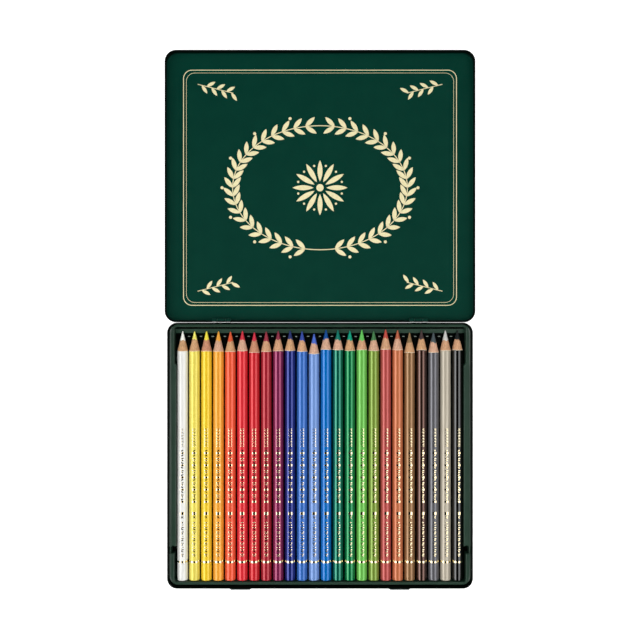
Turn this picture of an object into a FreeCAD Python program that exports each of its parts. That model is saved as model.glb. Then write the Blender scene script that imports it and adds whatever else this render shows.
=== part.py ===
import FreeCAD, Part
import Sketcher
import math
import os

Vector = FreeCAD.Vector

# Sizes in millimetres, angles in degrees.
SIZES = {
    # pencils
    "pencil_diameter": 7.6,
    "pencil_length": 175,
    "point_length": 14.1,
    # insert tray
    "pencil_gap": 0.8,
    "groove_clearance": 0.15,
    "seat_gap": 0.04,
    "tray_sheet": 0.5,
    "crest_drop": 1.0,
    "end_gap": 0.1,
    "tip_gap": 2.8,
    "ridge_setback": 6.3,
    "trough_setback": 4.2,
    "ledge_setback": 0.9,
    "ledge_drop": 3.0,
    "flange_rise": 0.67,
    "flange_side": 3.7,
    "flange_front": 1.5,
    "flange_rear": 1.6,
    "end_widening": 1.0,
    "rail_rear_setback": 25.1,
    "notch_setback": 19.9,
    "notch_length": 4.9,
    "notch_depth": 5.0,
    "skirt_depth": 3.0,
    "tray_corner": 5.5,
    "well_corner": 1.5,
    # tin
    "tin_sheet": 0.35,
    "tray_clearance": 0.35,
    "rim_rise": 4.2,
    "rim_curl": 1.15,
    "base_corner": 7,
    "base_bend": 1.0,
    "bump_width": 13.1,
    "bump_height": 4.4,
    "bump_reach": 1.6,
    "bump_taper": 36,
    "bump_spacing": 111.4,
    "bump_below_rim": 3.5,
    "lid_clearance": 0.25,
    "lid_below_hinge": 1.0,
    "lid_curl": 1.3,
    "lid_corner": 8,
    "lid_bend": 1.2,
    "side_overhang": 2.8,
    "front_overhang": 3.4,
    # hinges
    "open_gap": 0.3,
    "hinge_setback": 1.55,
    "hinge_inset": 37,
    "hinge_length": 12.8,
    "middle_knuckle": 5.6,
    "knuckle_gap": 0.25,
    "hinge_relief": 0.4,
    "leaf_height": 5.0,
    "leaf_bend": 0.9,
    "pin_diameter": 1.5,
    "pin_clearance": 0.05,
}

# Colour of each pencil from left to right, and how far its point is worn back.
PENCILS = [
    ("white", 0.1),
    ("light_yellow", 0.1),
    ("yellow", 0.1),
    ("orange_yellow", 0.2),
    ("orange", 0.7),
    ("scarlet", 0.2),
    ("red", 1.0),
    ("dark_red", 0.7),
    ("wine", 0.4),
    ("navy", 0.6),
    ("blue", 0.3),
    ("light_blue", 2.2),
    ("cobalt", 0.2),
    ("blue_green", 0.0),
    ("emerald", 0.2),
    ("light_green", 0.0),
    ("olive", 0.3),
    ("brick_red", 0.0),
    ("terracotta", 0.1),
    ("ochre_brown", 1.1),
    ("dark_brown", 0.3),
    ("grey", 1.5),
    ("beige_grey", 0.0),
    ("black", 0.2),
]
PENCIL_COUNT = len(PENCILS)

# Cuts start or end this far clear of the face they go through.
CUT_MARGIN = 1

# The pressed sheet's bends and rolled rims are drawn in flats of this many degrees.
FLAT_ANGLE = 45

# Lengths that follow from the sizes.
LAYOUT = {
    "pencil_radius": "sizes.pencil_diameter / 2",
    "pitch": "sizes.pencil_diameter + sizes.pencil_gap",
    "groove_radius": "layout.pencil_radius + sizes.groove_clearance",
    "row_width": f"layout.pitch * {PENCIL_COUNT}",
    "first_pencil": "(layout.pitch - layout.row_width) / 2",
    # tray and base in plan
    "tray_half_width": "layout.row_width / 2 + sizes.flange_side",
    "well_length": "sizes.pencil_length + sizes.end_gap + sizes.tip_gap",
    "tray_half_length": "(layout.well_length + sizes.flange_front + sizes.flange_rear) / 2",
    "well_half_width": "layout.row_width / 2 + sizes.end_widening",
    "well_front": "sizes.flange_front - layout.tray_half_length",
    "well_rear": "layout.tray_half_length - sizes.flange_rear",
    "pencil_end": "layout.well_front + sizes.end_gap",
    "ridge_end": "layout.well_rear - sizes.ridge_setback",
    "base_half_width": "layout.tray_half_width + sizes.tray_clearance + sizes.rim_curl",
    "base_half_length": "layout.tray_half_length + sizes.tray_clearance + sizes.rim_curl",
    "base_wall_x": "layout.base_half_width - sizes.rim_curl + sizes.tin_sheet",
    "base_wall_y": "layout.base_half_length - sizes.rim_curl + sizes.tin_sheet",
    "base_wall_corner": "sizes.base_corner - sizes.rim_curl + sizes.tin_sheet",
    # heights
    "tray_bottom": "sizes.tin_sheet + sizes.seat_gap",
    "groove_bottom": "layout.tray_bottom + sizes.tray_sheet",
    "groove_height": "layout.groove_bottom + layout.groove_radius",
    "pencil_height": "layout.groove_bottom + sizes.seat_gap + layout.pencil_radius",
    "crest_height": "layout.pencil_height - sizes.crest_drop",
    "flange_top": "layout.pencil_height + layout.pencil_radius + sizes.flange_rise",
    "ledge_height": "layout.flange_top - sizes.ledge_drop",
    "base_height": "layout.flange_top + sizes.rim_rise",
    "closed_height": "layout.base_height + sizes.lid_clearance + sizes.tin_sheet",
    # lid and hinges
    "hinge_height": "layout.closed_height / 2",
    "lid_depth": "layout.hinge_height + sizes.lid_below_hinge",
    "lid_half_width": "layout.base_half_width + sizes.side_overhang",
    "lid_rear": "layout.base_half_length + sizes.open_gap",
    "hinge_x": "layout.base_half_width - sizes.hinge_inset",
    "hinge_y": "layout.lid_rear + sizes.hinge_setback",
    "lid_closed_front": "layout.base_half_length + sizes.front_overhang",
    "lid_half_length": "(layout.lid_closed_front + layout.hinge_y + sizes.hinge_setback) / 2",
    "lid_centre_y": "layout.lid_rear + layout.lid_half_length",
    "knuckle_bore": "sizes.pin_diameter / 2 + sizes.pin_clearance",
    "knuckle_radius": "layout.knuckle_bore + sizes.tin_sheet",
}


def write_sheets(doc):
    sizes = doc.addObject("Spreadsheet::Sheet", "sizes")
    cells = dict(SIZES)
    for colour, worn in PENCILS:
        cells[f"worn_{colour}"] = worn
    for row, (alias, size) in enumerate(cells.items(), 1):
        sizes.set(f"A{row}", alias)
        sizes.set(f"B{row}", str(size))
        sizes.setAlias(f"B{row}", alias)
    layout = doc.addObject("Spreadsheet::Sheet", "layout")
    for row, alias in enumerate(LAYOUT, 1):
        layout.set(f"A{row}", alias)
        layout.setAlias(f"B{row}", alias)
    for row, formula in enumerate(LAYOUT.values(), 1):
        layout.set(f"B{row}", "=" + formula.replace("layout.", ""))
    doc.recompute()


def value(owner, formula):
    return float(owner.evalExpression(formula))


def new_body(doc, label):
    body = doc.addObject("PartDesign::Body", label)
    body.Label = label
    return body


def origin_feature(body, role):
    for feature in body.Origin.OriginFeatures:
        if feature.Role == role:
            return feature
    raise ValueError(role)


def new_sketch(body, name, plane, offset="0"):
    sketch = body.newObject("Sketcher::SketchObject", name)
    sketch.AttachmentSupport = [(origin_feature(body, plane), "")]
    sketch.MapMode = "FlatFace"
    sketch.setExpression(".AttachmentOffset.Base.z", offset)
    return sketch


def arc_between(start, end, radius, turn):
    chord = end - start
    left = Vector(-chord.y, chord.x, 0).normalize()
    if turn == "right":
        left = left * -1
    rise = math.sqrt(max(radius ** 2 - (chord.Length / 2) ** 2, 0))
    centre = (start + end) * 0.5 + left * rise
    first, last = (start, end) if turn == "left" else (end, start)
    first_angle = math.atan2(first.y - centre.y, first.x - centre.x)
    last_angle = math.atan2(last.y - centre.y, last.x - centre.x)
    if last_angle < first_angle:
        last_angle += 2 * math.pi
    return Part.ArcOfCircle(Part.Circle(centre, Vector(0, 0, 1), radius), first_angle, last_angle)


def bind(sketch, kind, formula, *places):
    index = sketch.addConstraint(Sketcher.Constraint(kind, *places, value(sketch, formula)))
    sketch.setExpression(f"Constraints[{index}]", formula)


def trace(sketch, corners):
    # Closed outline. A corner is (x, y), or (x, y, radius, turn) if an arc leads to it.
    spots = [Vector(value(sketch, corner[0]), value(sketch, corner[1]), 0) for corner in corners]
    sides = []
    for index, corner in enumerate(corners):
        before = spots[index - 1]
        here = spots[index]
        if len(corner) == 2:
            sides.append((sketch.addGeometry(Part.LineSegment(before, here)), 1, 2))
            continue
        arc = arc_between(before, here, value(sketch, corner[2]), corner[3])
        ends = (1, 2) if corner[3] == "left" else (2, 1)
        sides.append((sketch.addGeometry(arc), *ends))
    for index, (side, start, end) in enumerate(sides):
        before, before_start, before_end = sides[index - 1]
        sketch.addConstraint(Sketcher.Constraint("Coincident", before, before_end, side, start))
        bind(sketch, "DistanceX", corners[index][0], -1, 1, side, end)
        bind(sketch, "DistanceY", corners[index][1], -1, 1, side, end)
        if len(corners[index]) == 4:
            bind(sketch, "Radius", corners[index][2], side)


def trace_box(sketch, left, right, bottom, top):
    trace(sketch, [(left, bottom), (right, bottom), (right, top), (left, top)])


def trace_rounded(sketch, right, rear, radius, left=None, front=None):
    left = left or f"-({right})"
    front = front or f"-({rear})"
    trace(sketch, [
        (right, f"{rear} - ({radius})"),
        (f"{right} - ({radius})", rear, radius, "left"),
        (f"{left} + ({radius})", rear),
        (left, f"{rear} - ({radius})", radius, "left"),
        (left, f"{front} + ({radius})"),
        (f"{left} + ({radius})", front, radius, "left"),
        (f"{right} - ({radius})", front),
        (right, f"{front} + ({radius})", radius, "left"),
    ])


def pad(body, name, sketch, length, symmetric=False, reverse=False):
    feature = body.newObject("PartDesign::Pad", name)
    feature.Profile = sketch
    feature.setExpression("Length", length)
    feature.SideType = "Symmetric" if symmetric else "One side"
    feature.Reversed = reverse
    body.Tip = feature
    return feature


def pocket(body, name, sketch, length, symmetric=False, reverse=False):
    feature = body.newObject("PartDesign::Pocket", name)
    feature.Profile = sketch
    feature.setExpression("Length", length)
    feature.SideType = "Symmetric" if symmetric else "One side"
    feature.Reversed = reverse
    body.Tip = feature
    return feature


def mirror_left_right(body, name, features):
    mirrored = body.newObject("PartDesign::Mirrored", name)
    mirrored.Originals = features
    mirrored.MirrorPlane = (origin_feature(body, "YZ_Plane"), [""])
    body.Tip = mirrored
    return mirrored


def row_across(body, name, feature, count, pitch):
    row = body.newObject("PartDesign::LinearPattern", name)
    row.Originals = [feature]
    row.Direction = (origin_feature(body, "X_Axis"), [""])
    row.Occurrences = count
    row.setExpression("Length", f"{pitch} * {count - 1}")
    body.Tip = row
    return row


def flats(x, y, radius, start, end):
    # Corners of a bend or roll about (x, y), from one angle to another.
    step = FLAT_ANGLE if end > start else -FLAT_ANGLE
    angles = range(start, end + step, step)
    return [
        (f"{x} + ({radius}) * cos({angle} deg)", f"{y} + ({radius}) * sin({angle} deg)") for angle in angles
    ]


def pressed_pan(body, half_width, half_length, corner, bend, rim_section):
    # Flat panel, then the bent wall with its rolled rim swept round the edge in one piece.
    panel = new_sketch(body, "panel_outline", "XY_Plane")
    trace_rounded(panel, f"{half_width} - {bend}", f"{half_length} - {bend}", f"{corner} - {bend}")
    pad(body, "panel", panel, "sizes.tin_sheet")
    path = new_sketch(body, "wall_path", "XY_Plane")
    trace_rounded(path, half_width, half_length, corner)
    section = new_sketch(body, "wall_section", "XZ_Plane", f"{half_length} - {corner}")
    bend_x = f"{half_width} - {bend}"
    overlap = f"{half_width} - {bend} - sizes.tin_sheet"
    trace(section, [
        *flats(bend_x, bend, bend, -90, 0),
        *rim_section,
        *flats(bend_x, bend, f"{bend} - sizes.tin_sheet", 0, -90),
        (overlap, "sizes.tin_sheet"),
        (overlap, "0"),
    ])
    sweep = body.newObject("PartDesign::AdditivePipe", "wall_and_rim")
    sweep.Profile = section
    sweep.Spine = (path, [f"Edge{side}" for side in range(1, 9)])
    sweep.Transition = "Transformed"
    body.Tip = sweep


def quarter_turns(x, y, radius, starts, turn):
    # Arc by arc round a rolled edge, through the named quarter points of its circle.
    places = {
        "right": (f"{x} + {radius}", y),
        "top": (x, f"{y} + {radius}"),
        "left": (f"{x} - ({radius})", y),
        "bottom": (x, f"{y} - ({radius})"),
    }
    return [(*places[start], radius, turn) for start in starts]


def outward_rim(wall_x, height, curl):
    x = f"{wall_x} - sizes.tin_sheet + {curl} / 2"
    z = f"{height} - {curl} / 2"
    return [(wall_x, f"{height} - {curl}"), *flats(x, z, f"{curl} / 2", -90, 180)]


def inward_rim(wall_x, height, curl):
    x = f"{wall_x} - {curl} / 2"
    z = f"{height} - {curl} / 2"
    return [*flats(x, z, f"{curl} / 2", 0, 270), (f"{wall_x} - sizes.tin_sheet", f"{height} - {curl}")]


def make_base(doc):
    body = new_body(doc, "base_pan")
    rim = outward_rim("layout.base_wall_x", "layout.base_height", "sizes.rim_curl")
    pressed_pan(
        body, "layout.base_wall_x", "layout.base_wall_y", "layout.base_wall_corner", "sizes.base_bend", rim
    )
    # Two snap bumps pressed out of the front wall just under the rim.
    level = "layout.base_height - sizes.bump_below_rim"
    centre = "sizes.bump_spacing / 2"
    box = (
        f"{centre} - sizes.bump_width / 2",
        f"{centre} + sizes.bump_width / 2",
        f"{level} - sizes.bump_height / 2",
        f"{level} + sizes.bump_height / 2",
    )
    reach = "layout.base_half_length + sizes.bump_reach - layout.base_wall_y"
    outside = new_sketch(body, "bump_outline", "XZ_Plane", "layout.base_wall_y")
    trace_box(outside, *box)
    bump = pad(body, "bump", outside, reach)
    bump.setExpression("TaperAngle", "-sizes.bump_taper")
    inside = new_sketch(body, "bump_hollow_outline", "XZ_Plane", "layout.base_wall_y - sizes.tin_sheet")
    trace_box(inside, *box)
    hollow = pocket(body, "bump_hollow", inside, reach, reverse=True)
    hollow.setExpression("TaperAngle", "-sizes.bump_taper")
    mirror_left_right(body, "other_bump", [bump, hollow])
    return body


def make_lid(doc):
    body = new_body(doc, "lid")
    rim = inward_rim("layout.lid_half_width", "layout.lid_depth", "sizes.lid_curl")
    pressed_pan(
        body, "layout.lid_half_width", "layout.lid_half_length", "sizes.lid_corner", "sizes.lid_bend", rim
    )
    # The rear wall is cut away at each hinge, and a tab left in the middle rolls round the pin.
    centre = "layout.hinge_x"
    axis_y = "sizes.hinge_setback - layout.lid_half_length"
    axis_z = "layout.hinge_height"
    window = new_sketch(body, "hinge_window_outline", "XZ_Plane", f"layout.lid_half_length + {CUT_MARGIN}")
    trace_box(
        window,
        f"{centre} - sizes.hinge_length / 2 - sizes.hinge_relief",
        f"{centre} + sizes.hinge_length / 2 + sizes.hinge_relief",
        f"{axis_z} - layout.knuckle_radius",
        f"layout.lid_depth + {CUT_MARGIN}",
    )
    cut = pocket(body, "hinge_window", window, f"sizes.lid_curl + {CUT_MARGIN} * 2")
    tab = new_sketch(body, "knuckle_section", "YZ_Plane", centre)
    wall = "-layout.lid_half_length"
    bend = "sizes.hinge_setback - sizes.tin_sheet"
    trace(tab, [
        (f"{wall} + sizes.tin_sheet", f"{axis_z} - sizes.hinge_setback"),
        (
            f"{wall} + sizes.tin_sheet",
            f"{axis_z} + layout.knuckle_radius - {bend} - sizes.tin_sheet",
        ),
        (axis_y, f"{axis_z} + layout.knuckle_bore", bend, "right"),
        *quarter_turns(axis_y, axis_z, "layout.knuckle_bore", ["right", "bottom"], "right"),
        (axis_y, f"{axis_z} - layout.knuckle_radius"),
        *quarter_turns(axis_y, axis_z, "layout.knuckle_radius", ["right", "top"], "left"),
        (
            wall,
            f"{axis_z} + layout.knuckle_radius - sizes.hinge_setback",
            "sizes.hinge_setback",
            "left",
        ),
        (wall, f"{axis_z} - sizes.hinge_setback"),
    ])
    knuckle = pad(body, "knuckle", tab, "sizes.middle_knuckle", symmetric=True)
    mirror_left_right(body, "other_hinge", [cut, knuckle])
    body.setExpression(".Placement.Base.y", "layout.lid_centre_y")
    return body


def make_hinge_leaf(doc, side, sign):
    body = new_body(doc, f"hinge_leaf_{side}")
    # A strip lies on the base's rear wall, bends out over it and rolls down round the pin.
    wall = "layout.base_wall_y"
    axis_y = "layout.hinge_y"
    axis_z = "layout.hinge_height"
    top = f"{axis_z} + layout.knuckle_radius"
    bottom = f"{top} - sizes.leaf_height"
    strip = new_sketch(body, "strip_section", "YZ_Plane")
    trace(strip, [
        (f"{wall} + sizes.tin_sheet", f"{top} - sizes.leaf_bend"),
        (
            f"{wall} + sizes.leaf_bend",
            f"{axis_z} + layout.knuckle_bore",
            "sizes.leaf_bend - sizes.tin_sheet",
            "right",
        ),
        (axis_y, f"{axis_z} + layout.knuckle_bore"),
        *quarter_turns(axis_y, axis_z, "layout.knuckle_bore", ["right", "bottom", "left"], "right"),
        (f"{axis_y} - layout.knuckle_radius", axis_z),
        *quarter_turns(axis_y, axis_z, "layout.knuckle_radius", ["bottom", "right", "top"], "left"),
        (f"{wall} + sizes.leaf_bend", top),
        (wall, f"{top} - sizes.leaf_bend", "sizes.leaf_bend", "left"),
        (wall, bottom),
        (f"{wall} + sizes.tin_sheet", bottom),
    ])
    pad(body, "strip", strip, "sizes.hinge_length", symmetric=True)
    gap = new_sketch(body, "middle_gap_outline", "XY_Plane", bottom)
    half_gap = "sizes.middle_knuckle / 2 + sizes.knuckle_gap"
    trace_box(
        gap,
        f"-({half_gap})",
        half_gap,
        f"{wall} + sizes.leaf_bend",
        f"{axis_y} + layout.knuckle_radius + {CUT_MARGIN}",
    )
    pocket(body, "middle_gap", gap, f"sizes.leaf_height + {CUT_MARGIN}", reverse=True)
    body.setExpression(".Placement.Base.x", f"{sign} * layout.hinge_x")
    return body


def make_hinge_pin(doc, side, sign):
    pin = doc.addObject("Part::Cylinder", f"hinge_pin_{side}")
    pin.Label = f"hinge_pin_{side}"
    pin.setExpression("Radius", "sizes.pin_diameter / 2")
    pin.setExpression("Height", "sizes.hinge_length")
    pin.Placement.Rotation = FreeCAD.Rotation(Vector(0, 1, 0), 90)
    pin.setExpression(".Placement.Base.x", f"{sign} * layout.hinge_x - sizes.hinge_length / 2")
    pin.setExpression(".Placement.Base.y", "layout.hinge_y")
    pin.setExpression(".Placement.Base.z", "layout.hinge_height")
    return pin


def make_tray_grooves(body):
    # A block as high as the ridges, with a row of round grooves cut from above
    # and a row of hollows from below, so that one thin sheet is left between.
    sheet = "sizes.tray_sheet"
    block = new_sketch(body, "floor_outline", "XY_Plane", "layout.tray_bottom")
    side = f"layout.well_half_width + {sheet}"
    front = f"layout.well_front - {sheet}"
    corner = f"sizes.well_corner + {sheet}"
    trace(block, [
        (side, "layout.ridge_end"),
        (f"-({side})", "layout.ridge_end"),
        (f"-({side})", f"{front} + {corner}"),
        (f"{corner} - ({side})", front, corner, "left"),
        (f"{side} - ({corner})", front),
        (side, f"{front} + {corner}", corner, "left"),
    ])
    pad(body, "floor", block, "layout.crest_height - layout.tray_bottom")
    round_cut = new_sketch(body, "groove_outline", "XZ_Plane", "-layout.well_front")
    centre = Vector(value(body, "layout.first_pencil"), value(body, "layout.groove_height"), 0)
    circle = Part.Circle(centre, Vector(0, 0, 1), value(body, "layout.groove_radius"))
    round_cut.addGeometry(circle)
    bind(round_cut, "DistanceX", "layout.first_pencil", -1, 1, 0, 3)
    bind(round_cut, "DistanceY", "layout.groove_height", -1, 1, 0, 3)
    bind(round_cut, "Radius", "layout.groove_radius", 0)
    groove = pocket(body, "groove", round_cut, f"layout.ridge_end - layout.well_front + {CUT_MARGIN}")
    row_across(body, "groove_row", groove, PENCIL_COUNT, "layout.pitch")
    hollow = new_sketch(body, "ridge_hollow_outline", "XZ_Plane", "-layout.well_front")
    # Each hollow is a roof of 45 degrees that keeps one sheet's thickness from the grooves beside it.
    middle = "layout.first_pencil + layout.pitch / 2"
    peak = f"layout.groove_height + layout.pitch / 2 - (layout.groove_radius + {sheet}) * sqrt(2)"
    trace(hollow, [(f"{middle} + {peak}", "0"), (middle, peak), (f"{middle} - ({peak})", "0")])
    cut = pocket(body, "ridge_hollow", hollow, f"layout.ridge_end - layout.well_front - {sheet}")
    row_across(body, "hollow_row", cut, PENCIL_COUNT - 1, "layout.pitch")


def make_tray(doc):
    body = new_body(doc, "insert_tray")
    sheet = "sizes.tray_sheet"
    wide = "layout.well_half_width"
    make_tray_grooves(body)
    # Cross trough behind the ridges, then a slope and ledge under the pencil points.
    slope = new_sketch(body, "slope_section", "YZ_Plane")
    foot = "layout.well_rear - sizes.trough_setback"
    head = "layout.well_rear - sizes.ledge_setback"
    trace(slope, [
        (f"layout.ridge_end - {sheet} / 2", "layout.tray_bottom"),
        (f"{foot} + {sheet} / 2", "layout.tray_bottom"),
        (f"{head} + {sheet} / 2", f"layout.ledge_height - {sheet}"),
        (f"layout.well_rear + {sheet}", f"layout.ledge_height - {sheet}"),
        (f"layout.well_rear + {sheet}", "layout.ledge_height"),
        (head, "layout.ledge_height"),
        (foot, "layout.groove_bottom"),
        (f"layout.ridge_end - {sheet} / 2", "layout.groove_bottom"),
    ])
    pad(body, "slope", slope, f"({wide} + {sheet}) * 2", symmetric=True)
    # Upright walls of the well, flange round it and a short skirt at its outer edge.
    walls = new_sketch(body, "well_walls_outline", "XY_Plane", "layout.tray_bottom")
    trace_rounded(
        walls, wide, "layout.well_rear", "sizes.well_corner", front="layout.well_front"
    )
    trace_rounded(
        walls,
        f"{wide} + {sheet}",
        f"layout.well_rear + {sheet}",
        f"sizes.well_corner + {sheet}",
        f"-({wide} + {sheet})",
        f"layout.well_front - {sheet}",
    )
    pad(body, "well_walls", walls, "layout.flange_top - layout.tray_bottom")
    flange = new_sketch(body, "flange_outline", "XY_Plane", f"layout.flange_top - {sheet}")
    trace_rounded(
        flange, wide, "layout.well_rear", "sizes.well_corner", front="layout.well_front"
    )
    trace_rounded(flange, "layout.tray_half_width", "layout.tray_half_length", "sizes.tray_corner")
    pad(body, "flange", flange, sheet)
    skirt = new_sketch(body, "skirt_outline", "XY_Plane", "layout.flange_top - sizes.skirt_depth")
    trace_rounded(skirt, "layout.tray_half_width", "layout.tray_half_length", "sizes.tray_corner")
    trace_rounded(
        skirt,
        f"layout.tray_half_width - {sheet}",
        f"layout.tray_half_length - {sheet}",
        f"sizes.tray_corner - {sheet}",
    )
    pad(body, "skirt", skirt, "sizes.skirt_depth")
    # Side rails narrow the middle of the well, and end at a finger notch.
    notch_rear = "layout.well_front + sizes.notch_setback + sizes.notch_length"
    notch_front = "layout.well_front + sizes.notch_setback"
    notch_floor = "layout.flange_top - sizes.notch_depth"
    rail = new_sketch(body, "rail_outline", "XY_Plane", f"layout.crest_height - {sheet}")
    trace_box(
        rail,
        "layout.row_width / 2",
        f"{wide} + {sheet} / 2",
        notch_rear,
        "layout.well_rear - sizes.rail_rear_setback",
    )
    rail_pad = pad(body, "rail", rail, f"layout.flange_top - layout.crest_height + {sheet}")
    liner = new_sketch(body, "notch_liner_outline", "XY_Plane", f"{notch_floor} - {sheet}")
    trace_box(
        liner,
        f"{wide} + {sheet} / 2",
        "layout.tray_half_width",
        f"{notch_front} - {sheet}",
        f"{notch_rear} + {sheet}",
    )
    liner_pad = pad(body, "notch_liner", liner, f"sizes.notch_depth + {sheet}")
    notch = new_sketch(body, "notch_outline", "XY_Plane", notch_floor)
    trace_box(
        notch, f"{wide} - {sheet}", f"layout.tray_half_width - {sheet}", notch_front, notch_rear
    )
    notch_cut = pocket(body, "notch", notch, f"sizes.notch_depth + {CUT_MARGIN}", reverse=True)
    mirror_left_right(body, "other_side", [rail_pad, liner_pad, notch_cut])
    return body


def make_pencil(doc, index, colour):
    body = new_body(doc, f"pencil_{index + 1:02d}_{colour}")
    # Half section in the plane of the pencil's axis, turned a full circle about it.
    profile = new_sketch(body, "pencil_profile", "XY_Plane")
    tip = f"sizes.pencil_length - sizes.worn_{colour}"
    trace(profile, [
        ("0", "0"),
        ("layout.pencil_radius", "0"),
        ("layout.pencil_radius", f"{tip} - sizes.point_length"),
        ("0", tip),
    ])
    turned = body.newObject("PartDesign::Revolution", "barrel_and_point")
    turned.Profile = profile
    turned.ReferenceAxis = (profile, ["V_Axis"])
    turned.Angle = 360
    body.Tip = turned
    body.setExpression(".Placement.Base.x", f"layout.first_pencil + layout.pitch * {index}")
    body.setExpression(".Placement.Base.y", "layout.pencil_end")
    body.setExpression(".Placement.Base.z", "layout.pencil_height")
    return body


def export(doc, parts):
    doc.recompute()
    for item in doc.Objects:
        if "Invalid" in item.State or "Error" in item.State:
            raise RuntimeError(f"{item.Label} did not build: {item.State}")
    os.makedirs("parts", exist_ok=True)
    for part in parts:
        if part.Shape.isNull() or not part.Shape.isValid():
            raise RuntimeError(f"{part.Label} has no sound shape")
        if len(part.Shape.Solids) != 1:
            raise RuntimeError(f"{part.Label} is not one solid")
        part.Shape.exportStep(f"parts/{part.Label}.step")
        print(f"{part.Label}: {part.Shape.Volume:.1f} mm3")


def main():
    doc = FreeCAD.newDocument("pencil_tin")
    write_sheets(doc)
    parts = [make_base(doc), make_lid(doc), make_tray(doc)]
    for side, sign in (("left", -1), ("right", 1)):
        parts.append(make_hinge_leaf(doc, side, sign))
        parts.append(make_hinge_pin(doc, side, sign))
    for index, (colour, worn) in enumerate(PENCILS):
        parts.append(make_pencil(doc, index, colour))
    export(doc, parts)


main()
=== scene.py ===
import bpy
import math
import random
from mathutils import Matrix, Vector


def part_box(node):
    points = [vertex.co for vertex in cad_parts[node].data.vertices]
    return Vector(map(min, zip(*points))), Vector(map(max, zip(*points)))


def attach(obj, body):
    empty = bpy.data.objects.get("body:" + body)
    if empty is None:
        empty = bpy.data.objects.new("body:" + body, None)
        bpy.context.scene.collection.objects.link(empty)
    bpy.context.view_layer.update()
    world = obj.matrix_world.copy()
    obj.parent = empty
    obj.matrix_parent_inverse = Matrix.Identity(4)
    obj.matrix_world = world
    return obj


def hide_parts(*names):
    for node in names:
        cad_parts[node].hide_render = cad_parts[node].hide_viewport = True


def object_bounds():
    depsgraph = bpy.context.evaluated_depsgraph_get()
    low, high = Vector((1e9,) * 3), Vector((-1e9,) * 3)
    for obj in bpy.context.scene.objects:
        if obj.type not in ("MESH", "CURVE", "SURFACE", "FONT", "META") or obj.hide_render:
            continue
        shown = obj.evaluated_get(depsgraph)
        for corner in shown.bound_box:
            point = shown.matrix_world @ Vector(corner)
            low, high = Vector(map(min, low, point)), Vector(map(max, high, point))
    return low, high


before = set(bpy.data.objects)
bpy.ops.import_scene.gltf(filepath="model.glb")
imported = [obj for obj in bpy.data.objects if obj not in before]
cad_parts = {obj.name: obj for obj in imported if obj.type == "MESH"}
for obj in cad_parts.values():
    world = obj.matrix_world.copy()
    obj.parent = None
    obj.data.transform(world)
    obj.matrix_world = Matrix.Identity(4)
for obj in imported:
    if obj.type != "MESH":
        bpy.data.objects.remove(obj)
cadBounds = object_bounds()
mm = 0.001
sides = ((-1, "left"), (1, "right"))
random.seed(24)


# helpers

def linear(hexColour):
    channels = [int(hexColour[place:place + 2], 16) / 255 for place in (0, 2, 4)]
    return [c / 12.92 if c <= 0.04045 else ((c + 0.055) / 1.055) ** 2.4 for c in channels] + [1]


def shade(hexColour, factor):
    channels = [int(hexColour[place:place + 2], 16) * factor for place in (0, 2, 4)]
    return "".join(f"{min(round(c), 255):02x}" for c in channels)


def addNode(tree, kind, settings=None, links=None):
    # settings: attributes by name, "in:Socket" for an input's value, "stops" for a ramp's places and tones
    # links: input name or number -> output socket
    node = tree.nodes.new(kind)
    for key, setting in (settings or {}).items():
        if key == "stops":
            stops = node.color_ramp.elements
            for extra in range(len(setting) - len(stops)):
                stops.new(0.5)
            for stop, (spot, tone) in zip(stops, setting):
                stop.position = spot
                stop.color = linear(tone)
        elif key.startswith("in:"):
            socket = key[3:]
            node.inputs[int(socket) if socket.isdigit() else socket].default_value = setting
        else:
            setattr(node, key, setting)
    for key, socket in (links or {}).items():
        tree.links.new(socket, node.inputs[key])
    return node


def newMaterial(name):
    material = bpy.data.materials.new(name)
    material.use_nodes = True
    material.node_tree.nodes.clear()
    return material, material.node_tree


def meshPiece(name, points, faces, materials, faceSlots=None, sharpAngle=35):
    mesh = bpy.data.meshes.new(name)
    mesh.from_pydata(points, [], faces)
    for material in materials:
        mesh.materials.append(material)
    if faceSlots:
        mesh.polygons.foreach_set("material_index", faceSlots)
    mesh.update()
    mesh.shade_smooth()
    mesh.set_sharp_from_angle(angle=math.radians(sharpAngle))
    piece = bpy.data.objects.new(name, mesh)
    bpy.context.scene.collection.objects.link(piece)
    return piece


def arc(x, y, radius, start, end, steps):
    angles = [math.radians(start + (end - start) * step / steps) for step in range(steps + 1)]
    return [(x + radius * math.cos(a), y + radius * math.sin(a)) for a in angles]


def gridFaces(rows, columns, first=0):
    # quads between rows of points, each row one point longer than its columns
    faces = []
    for row in range(rows):
        for column in range(columns):
            corner = first + row * (columns + 1) + column
            faces.append((corner, corner + 1, corner + columns + 2, corner + columns + 1))
    return faces


def ringFaces(rings, count, first=0):
    # quads between closed rings of points
    faces = []
    for row in range(rings - 1):
        for column in range(count):
            here = first + row * count + column
            after = first + row * count + (column + 1) % count
            faces.append((here, after, after + count, here + count))
    return faces


def smoothStep(x):
    x = min(max(x, 0), 1)
    return x * x * (3 - 2 * x)


def softMin(a, b, width):
    # lower of two heights, rounded where they meet
    share = max(width - abs(a - b), 0) / width
    return min(a, b) - share * share * width / 4


# materials

def grain(tree, scale, stretch=(1, 1, 1), detail=3):
    # noise in the piece's own space; stretch divides the scale along an axis
    place = addNode(tree, "ShaderNodeTexCoord").outputs["Object"]
    mapped = addNode(tree, "ShaderNodeMapping", {"in:Scale": [1 / s for s in stretch]}, {"Vector": place})
    noise = addNode(tree, "ShaderNodeTexNoise", {"in:Scale": scale, "in:Detail": detail},
                    {"Vector": mapped.outputs["Vector"]})
    return noise.outputs["Fac"]


def coordinate(tree, axis):
    # where a point lies on that axis of the piece's own space
    place = addNode(tree, "ShaderNodeTexCoord").outputs["Object"]
    return addNode(tree, "ShaderNodeSeparateXYZ", links={"Vector": place}).outputs[axis]


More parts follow.
